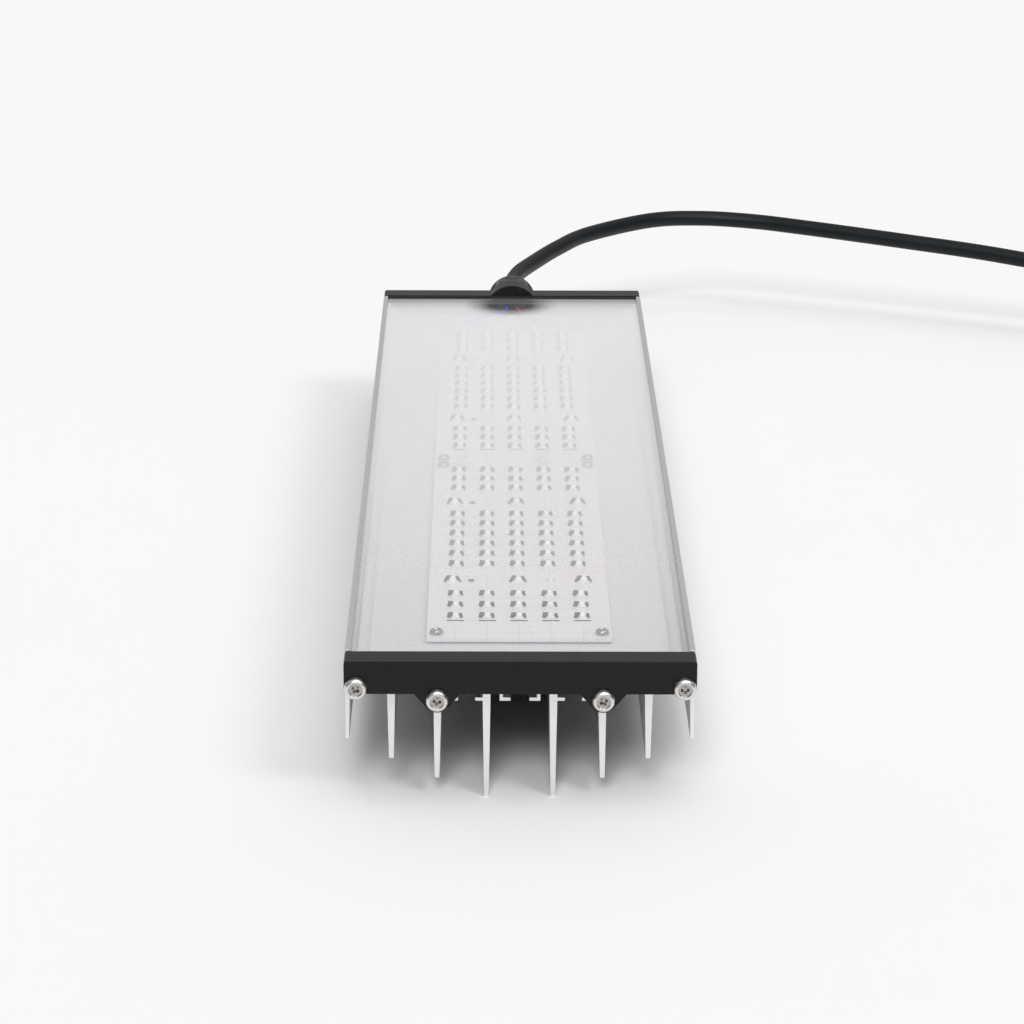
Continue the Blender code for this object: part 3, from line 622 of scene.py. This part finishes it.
LOOKS = {
    "aluminium": aluminium(),
    "cover": frosted(),
    "mask": board_mask(),
    "dome": led_dome(),
    "steel": steel("stainless_steel", (0.66, 0.645, 0.63), (0.8, 0.785, 0.77), CAP_SCREW["dish"]),
    "dark_steel": steel("blackened_steel", (0.38, 0.38, 0.385), (0.5, 0.5, 0.505), BOARD_SCREW["dish"]),
    "strap": strap(),
    "paint": grainy(
        "black_powder_coat",
        (0.003, 0.003, 0.0032),
        (0.006, 0.006, 0.0062),
        0.36,
        1500,
        0.03 * MM,
        Specular_IOR_Level=0.24,
    ),
    "plastic": grainy("black_nylon", (0.016, 0.016, 0.017), (0.024, 0.024, 0.025), 0.38, 2200, 0.03 * MM),
    "rubber": grainy("black_rubber", (0.02, 0.02, 0.021), (0.03, 0.03, 0.031), 0.68, 1800, 0.04 * MM),
    "sheath": grainy(
        "cable_sheath",
        (0.002, 0.004, 0.0055),
        (0.004, 0.006, 0.008),
        0.46,
        1200,
        0.05 * MM,
        Specular_IOR_Level=0.25,
    ),
    "seal": grainy("grey_silicone", (0.5, 0.51, 0.52), (0.58, 0.59, 0.6), 0.6, 900, 0.05 * MM),
    # A darker copy of the grey silicone, as painted shade on the rear end seal under the rear cap.
    "seal_painted_shade": grainy("silicone_painted_shade", (0.05, 0.05, 0.055), (0.08, 0.08, 0.085), 0.6, 900, 0.05 * MM),
    "pad": grainy("thermal_pad", (0.58, 0.6, 0.62), (0.66, 0.68, 0.7), 0.75, 2500, 0.04 * MM),
    "ivory": grainy("ivory_plastic", (0.72, 0.71, 0.66), (0.8, 0.79, 0.74), 0.4, 1500, 0.02 * MM),
    "ceramic": grainy("led_package", (0.84, 0.84, 0.84), (0.89, 0.89, 0.89), 0.35, 2000, 0.02 * MM),
    # Near black, for the contacts, the painted reflections and shadow lines, and one small part.
    "contact_and_painted_marks": grainy(
        "dark_contact_and_painted_marks",
        (0.006, 0.006, 0.007),
        (0.012, 0.012, 0.012),
        0.6,
        3000,
        0.02 * MM,
        Specular_IOR_Level=0.1,
    ),
    "blue": grainy("blue_insulation", (0.005, 0.04, 0.38), (0.01, 0.06, 0.46), 0.4, 1500, 0.02 * MM),
    "brown": grainy("brown_insulation", (0.24, 0.015, 0.01), (0.32, 0.025, 0.015), 0.4, 1500, 0.02 * MM),
    "brass": grainy("brass", (0.72, 0.5, 0.2), (0.82, 0.6, 0.28), 0.28, 1500, 0.02 * MM, Metallic=1.0),
    "tin": grainy("tinned_pad", (0.62, 0.62, 0.6), (0.75, 0.75, 0.73), 0.35, 1500, 0.03 * MM, Metallic=1.0),
}


# The camera and the cable


def make_camera():
    forward = Vector(
        (
            math.sin(CAMERA_YAW) * math.cos(CAMERA_TILT),
            math.cos(CAMERA_YAW) * math.cos(CAMERA_TILT),
            -math.sin(CAMERA_TILT),
        )
    )
    right = forward.cross(Vector((0, 0, 1))).normalized()
    up = right.cross(forward)
    level = Matrix((right, up, -forward)).transposed()
    data = bpy.data.cameras.new("camera")
    data.lens = CAMERA_LENS
    camera = bpy.data.objects.new("camera", data)
    bpy.context.scene.collection.objects.link(camera)
    turn = level @ Matrix.Rotation(CAMERA_ROLL, 3, "Z")
    camera.matrix_world = Matrix.Translation(CAMERA_PLACE) @ turn.to_4x4()
    bpy.context.scene.camera = camera


def ease(share):
    """share, kept within 0 and 1, with a slow start and end."""
    share = min(1.0, max(0.0, share))
    return share * share * (3 - 2 * share)


def coil_points():
    """The turns, wound clockwise.

    The bundle is square, with a turn at each corner. At the crossing, the cable moves to the next corner.
    """
    start, spread = CROSSING
    corner = LAY / math.sqrt(2)
    points = []
    total = COIL_ENTRY + COIL_TURNS * 2 * math.pi
    count = round(total / (2 * math.pi) * POINTS_PER_TURN)
    for i in range(count + 1):
        gone = total * i / count
        angle = COIL_ENTRY - gone
        crossings, past = divmod(gone - (COIL_ENTRY - start), 2 * math.pi)
        share = ease(past / spread) if crossings >= 0 else 0.0
        if crossings <= 0:  # coming in from beside the bundle, to its outer upper corner
            across = LAY * (1.5 - share) if crossings == 0 else 1.5 * LAY
            up = LAY / 2
        else:
            quarter = math.pi / 4 + (crossings - 1 + share) * math.pi / 2
            if crossings > COIL_TURNS - 1:
                quarter = math.pi / 4 + (COIL_TURNS - 1) * math.pi / 2
            across = corner * math.cos(quarter)
            up = corner * math.sin(quarter)
        lift = COIL_HUMP * math.sin(math.pi * share)
        reach = COIL_RADIUS + across
        points.append(
            (
                COIL_CENTRE[0] + reach * math.cos(angle),
                COIL_CENTRE[1] + reach * math.sin(angle),
                COIL_MIDDLE + up + lift,
            )
        )
    return points


def make_cable(material):
    points = catmull_rom([*ROUTE, *coil_points(), *TAIL_ROUTE], CABLE_STEP)
    cable = add("cable", tube("cable", points, CABLE / 2), material)
    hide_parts("power_cable", "cable_coil", "cable_tail")
    return cable


# Pieces that stand for CAD nodes


def carve(mesh, cutter):
    """mesh with cutter taken out of it."""
    body = bpy.data.objects.new("carved", mesh)
    tool = bpy.data.objects.new("tool", cutter)
    for obj in (body, tool):
        bpy.context.scene.collection.objects.link(obj)
    modifier = body.modifiers.new("carve", "BOOLEAN")
    modifier.operation = "DIFFERENCE"
    modifier.solver = "EXACT"
    modifier.object = tool
    bpy.context.view_layer.update()
    carved = bpy.data.meshes.new_from_object(body.evaluated_get(bpy.context.evaluated_depsgraph_get()))
    for obj in (body, tool):
        bpy.data.objects.remove(obj)
    carved.name = mesh.name
    carved.shade_smooth()
    carved.set_sharp_from_angle(angle=math.radians(35))
    return carved


def cross_arm(half_length, half_width, floor, top, turn):
    """A tapered bar, one of the two that cut a cross recess."""
    bm = bmesh.new()
    levels = ((floor, 0.35, 0.6), (top, 1.05, 1.03))  # height, and share of the length and width
    rings = []
    for z, longer, wider in levels:
        x, y = half_length * longer, half_width * wider
        corners = [(-x, -y), (x, -y), (x, y), (-x, y)]
        rings.append([bm.verts.new((u, v, z)) for u, v in corners])
    for i in range(4):
        bm.faces.new((rings[0][i - 1], rings[0][i], rings[1][i], rings[1][i - 1]))
    bm.faces.new(rings[0])
    bm.faces.new(rings[1])
    bmesh.ops.rotate(bm, cent=(0, 0, 0), matrix=Matrix.Rotation(turn, 3, "Z"), verts=bm.verts)
    return to_mesh("cross_arm", bm)


def screw_mesh(name, head, thick, shank, length, dish, sunk, arm):
    """A pan head screw from its seat at Z = 0, with a dished top and a cross recess."""
    shoulder = head - dish
    rim = 0.22  # share of the head's height that has straight sides
    land = 0.35 * MM  # width of the flat ring round the dish
    profile = [(-length, 0.6 * shank), (-length + 0.6 * shank, shank)]
    profile += [(0, shank), (0, head), (rim * thick, head)]
    for step in range(1, 6):
        rise = math.pi / 2 * step / 5
        reach = dish + land + (shoulder - land) * math.cos(rise)
        profile.append((thick * (rim + (1 - rim) * math.sin(rise)), reach))
    profile += [(thick, dish), (thick - sunk, dish - 0.25 * MM)]
    mesh = to_mesh(name, turned(profile, solid=True))
    floor = thick - sunk - arm[2]
    for turn in (0, math.pi / 2):
        mesh = carve(mesh, cross_arm(arm[0], arm[1], floor, thick + 0.2 * MM, turn))
    return mesh


def make_screws():
    """The screws of the caps, whose heads face outwards, and those of the boards."""
    cap = screw_mesh("cap_screw", **CAP_SCREW)
    board = screw_mesh("board_screw", **BOARD_SCREW)
    start, step = SCREW_TURN
    for where, out in (("front", -1), ("rear", 1)):
        lie = Matrix.Rotation(-out * math.pi / 2, 4, "X")
        for number in range(1, 5):
            turn = Matrix.Rotation(start + step * number, 4, "Z")
            low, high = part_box(f"cap_screw_{where}_{number}")
            seat = high.y - CAP_SCREW["thick"] if out > 0 else low.y + CAP_SCREW["thick"]
            middle = (low + high) / 2
            screw = add(f"cap_screw_{where}_{number}_finished", cap, LOOKS["steel"])
            screw.matrix_world = Matrix.Translation((middle.x, seat, middle.z)) @ lie @ turn
            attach(screw, "root")
            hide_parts(f"cap_screw_{where}_{number}")
            low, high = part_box(f"board_screw_{where}_{number}")
            seat = high.z - BOARD_SCREW["thick"]
            middle = (low + high) / 2
            screw = add(f"board_screw_{where}_{number}_finished", board, LOOKS["dark_steel"])
            screw.matrix_world = Matrix.Translation((middle.x, middle.y, seat)) @ turn
            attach(screw, "root")
            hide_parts(f"board_screw_{where}_{number}")


def plate(outline, holes, low, high):
    """A bmesh of a flat plate with round holes, given as (x, y, radius)."""
    bm = bmesh.new()
    rounds = [
        [(x + r * math.cos(math.pi * i / 12), y + r * math.sin(math.pi * i / 12)) for i in range(24)]
        for x, y, r in holes
    ]
    edges = []
    for loop in (outline, *rounds):
        verts = [bm.verts.new((x, y, low)) for x, y in loop]
        edges += [bm.edges.new((verts[i - 1], verts[i])) for i in range(len(verts))]
    filled = bmesh.ops.triangle_fill(bm, use_beauty=True, use_dissolve=False, edges=edges)
    faces = [item for item in filled["geom"] if isinstance(item, bmesh.types.BMFace)]
    raised = bmesh.ops.extrude_face_region(bm, geom=faces)
    moved = [item for item in raised["geom"] if isinstance(item, bmesh.types.BMVert)]
    bmesh.ops.translate(bm, vec=(0, 0, high - low), verts=moved)
    bmesh.ops.recalc_face_normals(bm, faces=bm.faces)
    return bm


def row_offsets():
    """Distances of the LED rows from the board's end: those of the blocks, and those of the large LEDs."""
    small = []
    large = []
    at = ROW_START
    for index, rows in enumerate(ROW_BLOCKS):
        small += [at + ROW_PITCH * i for i in range(rows)]
        if index < len(ROW_BLOCKS) - 1:
            large.append(small[-1] + TO_LARGE_ROW)
            at = large[-1] + FROM_LARGE_ROW
    return small, large


def add_led(meshes, x, y, top, led):
    """Adds one LED to the meshes of a board's pads, packages, lenses and contacts, whose dark blocks paint
    the dark reflections at the lens's sides.
    """
    pads, packages, lenses, contacts_and_painted_marks = meshes
    slab(pads, (x, y, top), (*led["pad"], SKIN))
    slab(packages, (x, y, top + SKIN), (*led["package"], PACKAGE_THICK))
    dome(lenses, (x, y, top + PACKAGE_THICK), *led["lens"], *led["facets"])
    # Dark blocks that paint the lens's dark reflections at its sides.
    for away, size, lean in led["contacts_and_painted_marks"]:
        slab(contacts_and_painted_marks, (x + away, y, top + SKIN), size, lean)


def board_plate(where, low, high, top):
    """The board itself, with its screw holes."""
    holes = []
    for number in range(1, 5):
        a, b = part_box(f"board_screw_{where}_{number}")
        holes.append(((a.x + b.x) / 2, (a.y + b.y) / 2, BOARD_HOLE))
    outline = [(low.x, low.y), (high.x, low.y), (high.x, high.y), (low.x, high.y)]
    mesh = to_mesh(f"board_{where}", plate(outline, holes, low.z, top))
    add(f"board_{where}", mesh, LOOKS["mask"], replaces=[f"led_board_{where}"])


def make_board(where):
    """The board with its packages, lenses, contacts, pads and small parts, and dark marks that paint
    reflections and shadow lines.
    """
    low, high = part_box(f"led_board_{where}")
    top = low.z + BOARD_THICK
    board_plate(where, low, high, top)
    small, large = row_offsets()
    columns = [COLUMN_PITCH * (i - 2) for i in range(5)]
    wide = [LARGE_COLUMN_PITCH * (i - 1) for i in range(3)]
    packages, lenses, contacts_and_painted_marks, pads = (bmesh.new() for _ in range(4))
    meshes = (pads, packages, lenses, contacts_and_painted_marks)
    for y in [low.y + row for row in small]:
        for x in columns:
            add_led(meshes, x, y, top, SMALL_LED)
    # Painted shadow lines: flat dark strips beyond the first and last small rows of each column.
    for x in columns:
        for y in (low.y + small[0] - PAINTED_SHADOW_LINE_AWAY, low.y + small[-1] + PAINTED_SHADOW_LINE_AWAY):
            slab(contacts_and_painted_marks, (x, y, top), PAINTED_SHADOW_LINE)
    for y in [low.y + row for row in large]:
        for x in wide:
            add_led(meshes, x, y, top, LARGE_LED)
        for x, body in zip(SMD_X, (contacts_and_painted_marks, packages)):
            slab(body, (x, y, top + SMD_LIFT), SMD_SIZE)
            for side in (-1, 1):
                slab(pads, (x + side * SMD_END_AWAY, y, top), SMD_END)
    soften_edges(packages, 0.12 * MM)
    soften_edges(contacts_and_painted_marks, 0.1 * MM, 1)
    parts = (
        ("led_packages", packages, "ceramic"),
        ("led_lenses", lenses, "dome"),
        ("led_contacts_and_painted_marks", contacts_and_painted_marks, "contact_and_painted_marks"),
        ("solder_pads", pads, "tin"),
    )
    for name, bm, finish in parts:
        add(f"{name}_{where}", to_mesh(name, bm), LOOKS[finish])


def make_terminal(node, along):
    """A push-in terminal: a wire hole in one end and a release slot in its top."""
    low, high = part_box(node)
    size = high - low
    middle = (low + high) / 2
    bm = bmesh.new()
    slab(bm, (middle.x, middle.y, low.z), size)
    soften_edges(bm, 0.3 * MM)
    mesh = to_mesh(node, bm)
    slot = bmesh.new()
    slab(slot, (middle.x, middle.y - along * SLOT_AWAY, high.z - SLOT_DEPTH), SLOT_SIZE)
    mesh = carve(mesh, to_mesh("slot", slot))
    hole = along_y(turned(HOLE_PROFILE, 24, solid=True), (0, 0, 0), along)
    end = high.y if along > 0 else low.y
    bmesh.ops.translate(hole, vec=(middle.x, end - along * HOLE_DEPTH, middle.z), verts=hole.verts)
    mesh = carve(mesh, to_mesh("hole", hole))
    add(f"{node}_finished", mesh, LOOKS["ivory"], replaces=[node])


def make_gland():
    """The body's hexagon flange and thread, the sealing ring, and the domed nut that turns on it."""
    nut_low, nut_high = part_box("gland_nut")
    body_low, body_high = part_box("gland_body")
    axis = Vector(((nut_low.x + nut_high.x) / 2, 0, (nut_low.z + nut_high.z) / 2))
    start = body_low.y
    flange = GLAND_FLANGE
    body = [
        (start, GLAND_BORE),
        (start, 7.3 * MM),
        (start + 0.6 * MM, GLAND_THREAD),
        (flange, GLAND_THREAD),
        (flange, GLAND_CORNER - 0.9 * MM, GLAND_HEX),
        (flange + 0.7 * MM, GLAND_CORNER, GLAND_HEX),
        (flange + 3.8 * MM, GLAND_CORNER, GLAND_HEX),
        (flange + 4.5 * MM, GLAND_CORNER - 0.9 * MM, GLAND_HEX),
        (flange + 4.5 * MM, GLAND_SPIGOT),
        (body_high.y, GLAND_SPIGOT),
        (body_high.y, GLAND_SEAT),
        (flange + 6.2 * MM, GLAND_SEAT),
        (flange + 6.2 * MM, GLAND_BORE),
    ]
    mesh = to_mesh("gland_body", along_y(turned(body, 72), axis))
    add("gland_body_finished", mesh, LOOKS["plastic"], replaces=["gland_body"])
    nut, mouth = nut_low.y, nut_high.y
    profile = [
        (nut, NUT_BORE),
        (nut, GLAND_CORNER - 1.1 * MM, GLAND_HEX),
        (nut + 0.8 * MM, GLAND_CORNER, GLAND_HEX),
        (nut + 8.2 * MM, GLAND_CORNER, GLAND_HEX),
        (nut + 9.0 * MM, GLAND_CORNER - 0.8 * MM, GLAND_HEX),
        (nut + 9.5 * MM, GLAND_HOOD - 0.15 * MM),
        (nut + 10.0 * MM, GLAND_HOOD),
        (nut + 12.0 * MM, 0.985 * GLAND_HOOD),
        (nut + 13.8 * MM, 0.95 * GLAND_HOOD),
        (nut + 15.4 * MM, 0.9 * GLAND_HOOD),
        (nut + 17.0 * MM, 0.83 * GLAND_HOOD),
        (nut + 18.4 * MM, 0.74 * GLAND_HOOD),
        (nut + 19.5 * MM, 0.64 * GLAND_HOOD),
        (mouth - 0.25 * MM, 0.54 * GLAND_HOOD),
        (mouth, 0.5 * GLAND_HOOD),
        (mouth, GLAND_BORE + 0.15 * MM),
        (mouth - 5 * MM, GLAND_BORE + 0.15 * MM),
        (mouth - 5.4 * MM, GLAND_SEAT),
        (nut + 14 * MM, NUT_BORE),
    ]
    mesh = to_mesh("gland_nut", along_y(turned(profile, 72), axis), 30)
    add("gland_nut_finished", mesh, LOOKS["plastic"], "gland_nut", ["gland_nut"])
    low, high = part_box("gland_o_ring")
    radius = (high.y - low.y) / 2
    section = [i * math.pi / 6 for i in range(12)]
    ring = [(low.y + radius * (1 + math.sin(a)), O_RING + O_RING_HALF * math.cos(a)) for a in section]
    mesh = to_mesh("gland_o_ring", along_y(turned(ring, 48), axis))
    add("gland_o_ring_finished", mesh, LOOKS["rubber"], replaces=["gland_o_ring"])


def make_connector():
    """The cable connector, along -Y: a ribbed clamp nut, the shell, and the ribbed coupling ring."""
    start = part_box("connector_clamp_nut")[1].y
    low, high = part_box("connector_ring")
    axis = Vector(((low.x + high.x) / 2, start, (low.z + high.z) / 2))

    def part(node, profile, steps=72, ribs=0, depth=0.0, body="root"):
        """Adds a piece that is turned from its profile."""
        scaled = [(entry[0] * MM, entry[1] * MM, None, len(entry) > 2) for entry in profile]
        bm = along_y(turned(scaled, steps, ribs=ribs, rib_depth=depth), axis, -1)
        add(f"{node}_finished", to_mesh(node, bm), LOOKS["plastic"], body, [node])

    part("connector_clamp_nut", CLAMP_PROFILE, *CLAMP_RIBS)
    part("connector_body", SHELL_PROFILE)
    part("connector_ring", RING_PROFILE, *RING_RIBS, "connector_ring")


def make_tie():
    """The strap round the coil, closed over itself."""
    low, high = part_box("coil_tie")
    middle = (low + high) / 2

    def loop(inset, start=0.0, end=2 * math.pi, count=64):
        """Points of a rounded rectangle in X and Z, from angle start to angle end."""
        half = (high - low) / 2
        points = []
        for i in range(count):
            angle = start + (end - start) * i / (count - 1)
            c, s = math.cos(angle), math.sin(angle)
            x = (half.x - inset) * math.copysign(abs(c) ** TIE_SQUARE, c)
            z = (half.z - inset) * math.copysign(abs(s) ** TIE_SQUARE, s)
            points.append((middle.x + x, middle.z + z))
        return points

    bm = bmesh.new()

    def band(inner, outer, width, closed):
        """Adds a strap between two rows of points, joined in a ring if it is closed."""
        rows = []
        for one, two in zip(inner, outer):
            y0, y1 = middle.y - width / 2, middle.y + width / 2
            corners = ((one, y0), (two, y0), (two, y1), (one, y1))
            rows.append([bm.verts.new((spot[0], y, spot[1])) for spot, y in corners])
        pairs = list(zip(rows, rows[1:])) + ([(rows[-1], rows[0])] if closed else [])
        for a, b in pairs:
            for i in range(4):
                bm.faces.new((a[i - 1], a[i], b[i], b[i - 1]))
        if not closed:
            bm.faces.new(rows[0])
            bm.faces.new(rows[-1])

    width = high.y - low.y
    full = 2 * math.pi * (1 - 1 / 65)  # one step short of a turn, as the ring closes itself
    band(loop(TIE_THICK, end=full), loop(0.0, end=full), width, True)
    flap = [loop(-away, *TIE_FLAP, 30) for away in (TIE_FLAP_GAP, TIE_FLAP_TOP)]
    band(*flap, width - TIE_FLAP_NARROWER, False)
    soften_edges(bm, 0.2 * MM, angle=50)
    add("coil_tie_finished", to_mesh("coil_tie", bm), LOOKS["strap"], replaces=["coil_tie"])


def make_housing():
    refined("heatsink_body", LOOKS["aluminium"], 0.12 * MM, 1)
    for end in ("front", "rear"):
        refined(f"end_cap_{end}", LOOKS["paint"], 0.45 * MM, 3)
        refined(f"gasket_{end}", LOOKS["rubber"])
        # The rear end seal gets the darker copy of the silicone, as painted shade under the rear cap.
        refined(f"end_seal_{end}", LOOKS["seal" if end == "front" else "seal_painted_shade"], 0.15 * MM)
        refined(f"thermal_pad_{end}", LOOKS["pad"])
    for side in ("left", "right"):
        refined(f"side_seal_{side}", LOOKS["seal"])
    refined("diffuser_sheet", LOOKS["cover"], 0.15 * MM)
    for colour in ("blue", "brown"):
        for wire in ("lead", "jumper"):
            refined(f"{wire}_{colour}", LOOKS[colour])
        make_terminal(f"terminal_front_board_{colour}", 1)
        make_terminal(f"terminal_rear_board_{colour}", -1)
        make_terminal(f"terminal_leads_{colour}", 1)
    for node in ("gland_seal", "cable_in_gland", "cable_in_connector"):
        refined(node, LOOKS["sheath"])
    refined("connector_insert", LOOKS["ivory"], 0.3 * MM)
    for pin in (1, 2, 3):
        refined(f"connector_pin_{pin}", LOOKS["brass"])


# Surroundings


def make_floor():
    bm = bmesh.new()
    bmesh.ops.create_grid(bm, x_segments=1, y_segments=1, size=FLOOR_HALF)
    mesh = bpy.data.meshes.new("floor")
    bm.to_mesh(mesh)
    bm.free()
    floor = bpy.data.objects.new("floor", mesh)
    bpy.context.scene.collection.objects.link(floor)
    look = Look("studio_floor")
    look.colour(look.blend(look.noise((3, 3, 3)), (0.915, 0.915, 0.92), (0.93, 0.93, 0.935)))
    look.rough(look.between(look.noise((50, 50, 50)), 0.75, 0.85))
    mesh.materials.append(look.material)


def sun(name, source, strength, spread):
    """A distant light from the direction of source."""
    data = bpy.data.lights.new(name, "SUN")
    data.energy = strength
    data.angle = math.radians(spread)
    light = bpy.data.objects.new(name, data)
    bpy.context.scene.collection.objects.link(light)
    light.rotation_euler = Vector(source).to_track_quat("Z", "Y").to_euler()


def make_lights():
    world = bpy.data.worlds.new("studio")
    bpy.context.scene.world = world
    world.use_nodes = True
    tree = world.node_tree
    direction = tree.nodes.new("ShaderNodeTexCoord").outputs["Generated"]
    parts = tree.nodes.new("ShaderNodeSeparateXYZ")
    tree.links.new(direction, parts.inputs[0])
    total = tree.nodes.new("ShaderNodeMath")
    for socket, (axis, low, high) in zip(total.inputs, SKY):
        share = tree.nodes.new("ShaderNodeMapRange")
        share.inputs["To Min"].default_value = low
        share.inputs["To Max"].default_value = high
        tree.links.new(parts.outputs[axis], share.inputs["Value"])
        tree.links.new(share.outputs["Result"], socket)
    tree.links.new(total.outputs[0], tree.nodes["Background"].inputs["Strength"])
    tree.nodes["Background"].inputs["Color"].default_value = (1.0, 1.0, 1.0, 1.0)
    for values in SUNS:
        sun(*values)
    bpy.context.scene.view_settings.view_transform = "Standard"


make_camera()
make_floor()
make_lights()
make_housing()
make_screws()
for end in ("front", "rear"):
    make_board(end)
make_gland()
make_connector()
make_tie()
cable = make_cable(LOOKS["sheath"])
